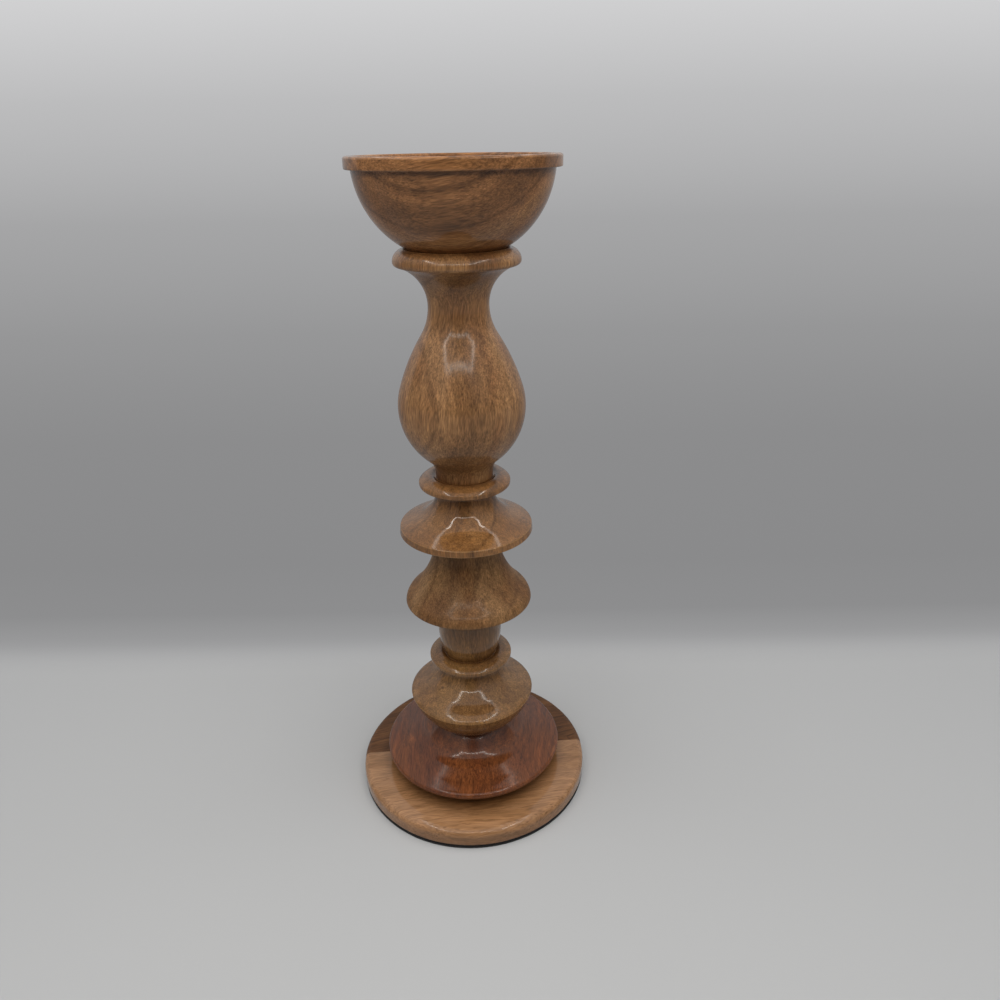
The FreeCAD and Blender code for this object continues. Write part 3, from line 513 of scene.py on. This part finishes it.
# red-brown wood with strong fine threads: its deep gloss holds a soft picture of the stem
saucer_wood = lacquered_wood(
    "gloss lacquer over red mango wood",
    {"pale": "#6f3d1c", "deep": "#592b13", "ring": "#421e0c", "pore": "#2e1306",
     "fleck": "#885128"},
    fibres=(0.0, 1.0, 0.0), outward=(0.3, 0.0, 1.0), level_mm=30.0, pith_mm=120.0, seed=3.0,
    gloss=0.13, coat=0.9,
    threads=((3.0, 60.0, 0.25), (0.9, 18.0, 0.3), (0.45, 8.0, 0.35)),
    pores=((0.5, 7.0, 0.48, 0.3), (0.36, 4.0, 0.36, 0.35)))
turn_piece("base_saucer", saucer_wood,
           swells=[(29.5, 36.0, 12.0, -1.2), (45.0, 28.9, 9.0, -0.5)])


# Lower stem
# One upright turning of olive brown mango wood, with a cup, a neck, a bead and a full shaft. It
# is drawn down on the saucer by the rod through its middle.

# olive brown with upright dashes, and a clear gloss that draws the lamps' frame on the cup
stem_wood = lacquered_wood(
    "gloss lacquer over olive brown mango wood",
    {"pale": "#8d663a", "deep": "#75502e", "ring": "#563a1f", "pore": "#3e2712",
     "fleck": "#af824e"},
    fibres=(0.0, 0.0, 1.0), outward=(0.3, -1.0, 0.1), level_mm=90.0, pith_mm=60.0, seed=4.0,
    gloss=0.13, lines=((27.0, 8.0, 0.25),),
    threads=((2.4, 40.0, 0.2), (0.8, 12.0, 0.28), (0.4, 5.0, 0.38)),
    pores=((0.55, 5.0, 0.48, 0.15), (0.36, 3.0, 0.45, 0.25)))
turn_piece("lower_stem", stem_wood,
           swells=[(24.5, 74.7, 5.5, 0.2), (36.8, 67.6, 6.5, 0.45)])


# Bell
# A wide ogee turning of pinkish mango wood with a short collar at its top, clamped over the end
# of the stem's shaft. Its lacquer is thinner and duller than its neighbours'.

# pinkish brown, pale and dark streaks side by side, and a broad soft shine
bell_wood = lacquered_wood(
    "satin lacquer over pinkish mango wood",
    {"pale": "#916c46", "deep": "#744e2e", "ring": "#543821", "pore": "#3c2414",
     "fleck": "#a07e58"},
    fibres=(0.0, 0.0, 1.0), outward=(1.0, -0.15, 0.0), level_mm=155.0, pith_mm=60.0, seed=5.0,
    gloss=0.2, coat=0.28, wander_mm=2.0,
    lines=((-21.0, 9.0, -0.4), (-14.0, 2.0, 0.5), (12.0, 2.0, 0.4), (-1.0, 13.0, 0.4)),
    threads=((2.4, 40.0, 0.2), (0.8, 12.0, 0.28), (0.4, 5.0, 0.35)),
    pores=((0.55, 5.0, 0.45, 0.2), (0.36, 3.0, 0.45, 0.25)))
turn_piece("bell", bell_wood)


# Skirt collar
# A small turning of orange brown mango wood between bell and vase: a flared skirt, a neck and a
# bead, clamped on the bell's collar.

# orange brown under the clearest lacquer of the stand, so that its highlights are sharp
collar_wood = lacquered_wood(
    "gloss lacquer over orange brown mango wood",
    {"pale": "#90653a", "deep": "#7a512a", "ring": "#57391e", "pore": "#3d2513",
     "fleck": "#ab8353"},
    fibres=(0.0, 0.0, 1.0), outward=(1.0, -0.3, 0.0), level_mm=195.0, pith_mm=70.0, seed=6.0,
    gloss=0.08, lines=((-17.0, 2.0, 0.4), (21.0, 2.0, 0.35)),
    threads=((2.4, 40.0, 0.2), (0.8, 12.0, 0.25), (0.4, 5.0, 0.35)),
    pores=((0.55, 5.0, 0.45, 0.2), (0.36, 3.0, 0.45, 0.25)))
turn_piece("skirt_collar", collar_wood, swells=[(22.3, 194.0, 5.0, 0.2)])


# Vase
# The tall turning of brown mango wood above the collar: a coved foot, a full belly, a narrow
# waist and the flange that carries the bowl.

# upright dashes, with a broad dark streak left of the middle and a pale one to the right
vase_wood = lacquered_wood(
    "satin lacquer over brown mango wood",
    {"pale": "#9e744b", "deep": "#845835", "ring": "#604026", "pore": "#432918",
     "fleck": "#ba8f63"},
    fibres=(0.08, 0.05, 1.0), outward=(-1.0, -0.25, 0.0), level_mm=262.0, pith_mm=55.0,
    seed=7.0, gloss=0.17, coat=0.75, wander_mm=1.5,
    lines=((11.0, 12.0, 0.45), (-9.0, 9.0, -0.4), (23.0, 7.0, -0.2), (25.4, 1.5, 0.45)),
    threads=((2.6, 40.0, 0.2), (0.9, 14.0, 0.3), (0.4, 6.0, 0.4)),
    pores=((0.55, 5.0, 0.51, 0.1), (0.36, 3.0, 0.45, 0.25)))
turn_piece("vase", vase_wood)


# Drip bowl
# A thin-walled bowl of mango wood with a square lip, turned with its grain lying across the
# stand. It sits on the vase's flange, held down by the spike through its floor.

# the rings cut the curved wall in dark arches, over pale wood with a clear gloss
bowl_wood = lacquered_wood(
    "gloss lacquer over arched mango wood",
    {"pale": "#a17046", "deep": "#845935", "ring": "#5a391c", "pore": "#432712",
     "fleck": "#b58759"},
    fibres=(0.98, -0.1, 0.11), outward=(-0.146, -0.662, 0.735), level_mm=360.0,
    pith_mm=400.0, seed=8.0, gloss=0.10, coat=0.8, wander_mm=1.0, ring_gap_mm=9.0,
    lines=((14.0, 9.0, -0.4), (30.0, 12.0, 0.5), (23.9, 1.6, 0.6), (42.4, 1.6, 0.55)),
    threads=((3.0, 60.0, 0.2), (0.8, 26.0, 0.3), (0.4, 8.0, 0.4)),
    pores=((0.55, 7.0, 0.48, 0.15), (0.36, 4.0, 0.45, 0.25)))
turn_piece("drip_bowl", bowl_wood)


# Drip plate, pricket, rod and its hardware
# A spun brass plate on the bowl's floor, clamped by the hexagon of a turned steel spike; the
# zinc plated rod and its nut and washers are closed in by the wood and the felt.

TOOL_MARK_MM = 0.349      # real tool marks are about 0.1 mm apart: these are coarser, to show
TOOL_MARK_DEPTH_MM = 0.1
WAVE_PERIOD = 0.3141      # how long one wave of the wave texture is at a scale of 1


def turned_metal(name, tone, roughness):
    """Bare turned metal, with the fine rings that the tool leaves round the axis."""
    material, tree = new_material(name)
    place = add_node(tree, "TexCoord", output="Object")
    rings = add_node(tree, "TexWave", [
        ("Vector", place), ("Scale", WAVE_PERIOD / (TOOL_MARK_MM * MM)), ("Distortion", 1.5),
        ("Detail", 2.0)], "Fac", wave_type="RINGS", rings_direction="Z")
    cut = add_node(tree, "Bump", [
        ("Height", rings), ("Strength", 0.25), ("Distance", TOOL_MARK_DEPTH_MM * MM)],
        "Normal")
    surface = add_node(tree, "BsdfPrincipled", [
        ("Base Color", linear(tone)), ("Metallic", 1.0), ("Roughness", roughness),
        ("Normal", cut)], "BSDF")
    add_node(tree, "OutputMaterial", [("Surface", surface)])
    return material


# warm yellow brass that draws its highlights out round the plate
dress(nodes["drip_plate"], turned_metal("spun lacquered brass", "#d9b46a", 0.22))
# a pale grey steel with a bright line down the cone
dress(nodes["pricket_spike"], turned_metal("turned bright steel", "#c9c9c8", 0.25))
# the same steel under zinc: duller, and a little warmer
rod_steel = turned_metal("zinc plated steel", "#bdbdb8", 0.4)
for hidden in ("tie_rod", "foot_washer", "lock_washer", "foot_nut"):
    dress(nodes[hidden], rod_steel)


# Room
# A sweep of pale matt paper: a level floor that turns up into a wall well behind the stand. By
# the stand it takes light and shadow from the lamps. Further back its light and shade are
# painted:
# a glow of greys, darkest low on the wall, that the eye and the lacquer see.

FLOOR_REACH = 4.0         # from the stand to the floor's edge, at the sides and in front
NEAR_FLOOR = 0.5          # rows of vertices here keep the floor by the stand evenly shaded
WALL_DISTANCE, WALL_HEIGHT = 1.6, 4.0
SWEEP_RADIUS = 0.5
TURN_STEP = 6             # degrees
PAINTED_LIGHT_FROM, PAINTED_LIGHT_WHOLE = 0.10, 0.15      # the distances behind the stand's axis over which the painted light and shade come in
# painted light and shade: the grey along the paper's run, from the stand's foot back and then up
# the wall, in metres
PAINTED_LIGHT_TONES = ((0.045, 178), (0.080, 176), (0.122, 168), (0.154, 152), (0.193, 141), (0.285, 138),
         (0.654, 140), (1.268, 150), (1.739, 165), (2.079, 188), (2.275, 208), (2.348, 214))

turn_start = WALL_DISTANCE - SWEEP_RADIUS
section = [(-FLOOR_REACH, 0.0), (-NEAR_FLOOR, 0.0), (NEAR_FLOOR, 0.0), (turn_start, 0.0)]
section += [(turn_start + SWEEP_RADIUS * math.sin(turn),
             SWEEP_RADIUS - SWEEP_RADIUS * math.cos(turn))
            for turn in map(math.radians, range(TURN_STEP, 91, TURN_STEP))]
section += [(WALL_DISTANCE, WALL_HEIGHT)]
sweep = bmesh.new()
rows = [[sweep.verts.new((x, y, z)) for x in (-FLOOR_REACH, FLOOR_REACH)] for y, z in section]
for near, far in zip(rows, rows[1:]):
    sweep.faces.new((near[0], near[1], far[1], far[0]))
room = shown_piece("sweep", sweep)

# matt paper with no gloss: by the stand its own tone and the lamps' soft shadow, further back
# painted light and shade
paper, tree = new_material("pale sweep paper")
place = add_node(tree, "TexCoord", output="Object")
spot = add_node(tree, "SeparateXYZ", [("Vector", place)])
run = add_node(tree, "Math", [(0, spot.outputs["Y"]), (1, spot.outputs["Z"])], "Value")
share = add_node(tree, "MapRange", [("Value", run), ("From Max", PAINTED_LIGHT_TONES[-1][0])], "Result")
painted_light_tones = add_node(tree, "ValToRGB", [("Fac", share)], "Color")
set_stops(painted_light_tones.node.color_ramp,
          [(reach / PAINTED_LIGHT_TONES[-1][0], linear("#%02x%02x%02x" % (tone, tone, min(255, tone + 1))))
           for reach, tone in PAINTED_LIGHT_TONES])
painted_glow = add_node(tree, "Emission", [("Color", painted_light_tones)], "Emission")
rays = add_node(tree, "LightPath")
# the floor throws little light up: the room in front of the stand is dark
bounce = add_node(tree, "Mix", [
    ("Factor", rays.outputs["Is Diffuse Ray"]), ("A", linear("#c2c3c4")),
    ("B", linear("#8c8a88"))], "Result", data_type="RGBA")
matt = add_node(tree, "BsdfDiffuse", [("Color", bounce)], "BSDF")
# the painted light and shade show as a glow to the eye and in the lacquer, and give the stand no
# light
seen = rays.outputs["Is Camera Ray"]
for kind in ("Is Glossy Ray", "Is Transmission Ray"):
    seen = add_node(tree, "Math", [(0, seen), (1, rays.outputs[kind])], "Value",
                    operation="MAXIMUM")
behind = add_node(tree, "MapRange", [
    ("Value", spot.outputs["Y"]), ("From Min", PAINTED_LIGHT_FROM), ("From Max", PAINTED_LIGHT_WHOLE)],
    "Result", interpolation_type="SMOOTHSTEP")
painted = add_node(tree, "Math", [(0, seen), (1, behind)], "Value", operation="MULTIPLY")
mixed = add_node(tree, "MixShader", [(0, painted), (1, matt), (2, painted_glow)], "Shader")
add_node(tree, "OutputMaterial", [("Surface", mixed)])
dress(room, paper)


# Lamps
# Thin strips in an open frame above the stand, one across the front and two down each side that
# close in behind it, and the soft light of a room that is pale overhead and dark in front.

STRIP_LEVEL, STRIP_WIDTH, STRIP_RADIANCE = 0.632, 0.024, 12.0
STRIP_CORNERS = ((-0.105, 0.46), (-0.262, -0.06), (-0.285, -0.472), (0.252, -0.472),
                 (0.256, -0.06), (0.07, 0.46))
STRIP_AIM = Vector((0, 0, 0.2))           # the middle of the stand
REAR_SHARE = 0.22                         # the light of a strip that reaches behind the stand


def strip_lamp(name, start, end, share):
    """A thin rectangular lamp from start to end that faces the middle of the stand."""
    lamp = bpy.data.lights.new(name, "AREA")
    lamp.shape = "RECTANGLE"
    lamp.size = (end - start).length
    lamp.size_y = STRIP_WIDTH
    lamp.color = linear("#fffaf2")[:3]
    lamp.energy = share * STRIP_RADIANCE * math.pi * lamp.size * lamp.size_y
    holder = bpy.data.objects.new(name, lamp)
    bpy.context.scene.collection.objects.link(holder)
    centre = (start + end) / 2
    along = (end - start).normalized()
    away = centre - STRIP_AIM
    away = (away - along * away.dot(along)).normalized()
    side = away.cross(along)
    holder.matrix_world = Matrix((
        (along.x, side.x, away.x, centre.x),
        (along.y, side.y, away.y, centre.y),
        (along.z, side.z, away.z, centre.z),
        (0, 0, 0, 1)))
    holder.visible_camera = False


for number, (start, end) in enumerate(zip(STRIP_CORNERS, STRIP_CORNERS[1:])):
    strip_lamp("strip %d" % number, Vector((*start, STRIP_LEVEL)), Vector((*end, STRIP_LEVEL)),
               REAR_SHARE if max(start[1], end[1]) > 0 else 1.0)

# the room's level from straight down, over the horizon at 0.5, to straight up at 1
ROOM_LEVELS = ((0.0, 0.10), (0.5, 0.26), (0.6, 0.36), (0.75, 0.85), (1.0, 1.30))
ROOM_BRIGHTEST = ROOM_LEVELS[-1][1]
MIRRORED_BRIGHTEST = 0.75                 # polished wood shows a dimmer, busier room
DARK_FROM, DARK_TO = -0.72, -0.35         # over which the dark in front gives way to the room
DARK_LIGHT = 0.2                          # the share of the room's light that is left in it
DARK_SIDES = 0.9                          # how much a look aside leads out of it
PLAIN_GREY = (0.3, 0.3, 0.3, 1.0)

world = bpy.data.worlds.new("room pale overhead")
bpy.context.scene.world = world
world.use_nodes = True
tree = world.node_tree
tree.nodes.clear()
place = add_node(tree, "TexCoord", output="Generated")
way = add_node(tree, "SeparateXYZ", [("Vector", place)])
rise = add_node(tree, "MapRange", [("Value", way.outputs["Z"]), ("From Min", -1.0)], "Result")
shade = add_node(tree, "ValToRGB", [("Fac", rise)], "Color")
set_stops(shade.node.color_ramp,
          [(height, (level / ROOM_BRIGHTEST,) * 3 + (1.0,)) for height, level in ROOM_LEVELS])
# the dark corner of the room in front of the stand
aside = add_node(tree, "Math", [(0, way.outputs["X"])], "Value", operation="ABSOLUTE")
aside = add_node(tree, "Math", [(0, aside), (1, DARK_SIDES), (2, way.outputs["Y"])], "Value",
                 operation="MULTIPLY_ADD")
front = add_node(tree, "MapRange", [
    ("Value", aside), ("From Min", DARK_FROM), ("From Max", DARK_TO),
    ("To Min", DARK_LIGHT)], "Result", interpolation_type="SMOOTHSTEP")
shade = add_node(tree, "VectorMath", [(0, shade), ("Scale", front)], "Vector",
                 operation="SCALE")
rays = add_node(tree, "LightPath")
strength = add_node(tree, "MapRange", [
    ("Value", rays.outputs["Is Glossy Ray"]), ("To Min", ROOM_BRIGHTEST),
    ("To Max", MIRRORED_BRIGHTEST)], "Result")
# past the floor's edge the eye meets a plain grey room
shade = add_node(tree, "Mix", [
    ("Factor", rays.outputs["Is Camera Ray"]), ("A", shade), ("B", PLAIN_GREY)], "Result",
    data_type="RGBA")
sky = add_node(tree, "Background", [("Color", shade), ("Strength", strength)], "Background")
add_node(tree, "OutputWorld", [("Surface", sky)])


# Camera
# It stands 42 cm in front of the stand, level with the bowl's lip and a little to the right, and
# looks down by 25 degrees: the lip is seen edge on, and the saucer from above.

CAMERA_PLACE = Vector((0.0203, -0.4211, 0.3912))
CAMERA_PITCH = math.radians(24.58)
CAMERA_ROLL = math.radians(-0.87)
SENSOR_WIDTH_MM, FOCAL_LENGTH_MM = 36.0, 28.375
NEAREST = 0.01

across = Vector((1, 0, 0))
upward = Vector((0, math.sin(CAMERA_PITCH), math.cos(CAMERA_PITCH)))
forward = Vector((0, math.cos(CAMERA_PITCH), -math.sin(CAMERA_PITCH)))
right = across * math.cos(CAMERA_ROLL) + upward * math.sin(CAMERA_ROLL)
top = upward * math.cos(CAMERA_ROLL) - across * math.sin(CAMERA_ROLL)
lens = bpy.data.cameras.new("camera")
lens.sensor_width = SENSOR_WIDTH_MM
lens.lens = FOCAL_LENGTH_MM
lens.clip_start = NEAREST
camera = bpy.data.objects.new("camera", lens)
bpy.context.scene.collection.objects.link(camera)
camera.matrix_world = Matrix((
    (right.x, top.x, -forward.x, CAMERA_PLACE.x),
    (right.y, top.y, -forward.y, CAMERA_PLACE.y),
    (right.z, top.z, -forward.z, CAMERA_PLACE.z),
    (0, 0, 0, 1)))
bpy.context.scene.camera = camera
bpy.context.scene.view_settings.view_transform = "Standard"
